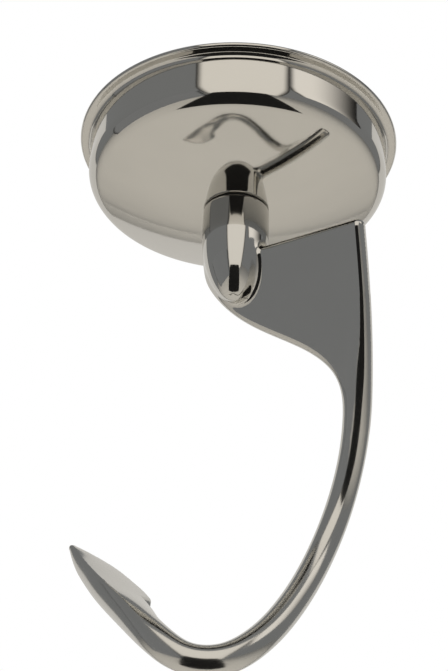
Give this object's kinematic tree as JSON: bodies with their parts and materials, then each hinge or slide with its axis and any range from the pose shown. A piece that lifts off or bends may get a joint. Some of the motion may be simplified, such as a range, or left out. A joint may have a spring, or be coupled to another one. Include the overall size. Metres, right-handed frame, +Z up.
{
  "type": "mixer dough hook",
  "caption": "Polished dough hook with a round pressed guard dish, for the planetary hub of a kitchen mixer, held by a drive spindle with a bayonet cross pin.",
  "frame": {"origin": "on the spindle's axis, in the plain journal at its free end, above the cross pin", "axes": "+Z up along the spindle, out of its free end; the blade reaches out towards +X, the rod swings round on the +Y side and the toe points towards -X"},
  "size_m": [0.086, 0.086, 0.1732],
  "materials": {
    "polished_casting": "mirror-polished stainless steel casting",
    "polished_sheet": "mirror-polished pressed stainless sheet",
    "turned_steel": "fine-turned stainless steel",
    "ground_pin": "ground hardened steel",
    "seal": "matt black food-grade silicone",
    "washer_steel": "tumbled stainless steel",
    "nut_steel": "machined stainless steel"
  },
  "bodies": {
    "root": {"hook_casting": "polished_casting", "guard_dish": "polished_sheet", "drive_spindle": "turned_steel", "drive_pin": "ground_pin", "seal_washer": "seal", "plain_washer": "washer_steel", "spring_washer": "washer_steel", "lock_nut": "nut_steel"}
  },
  "joints": []
}
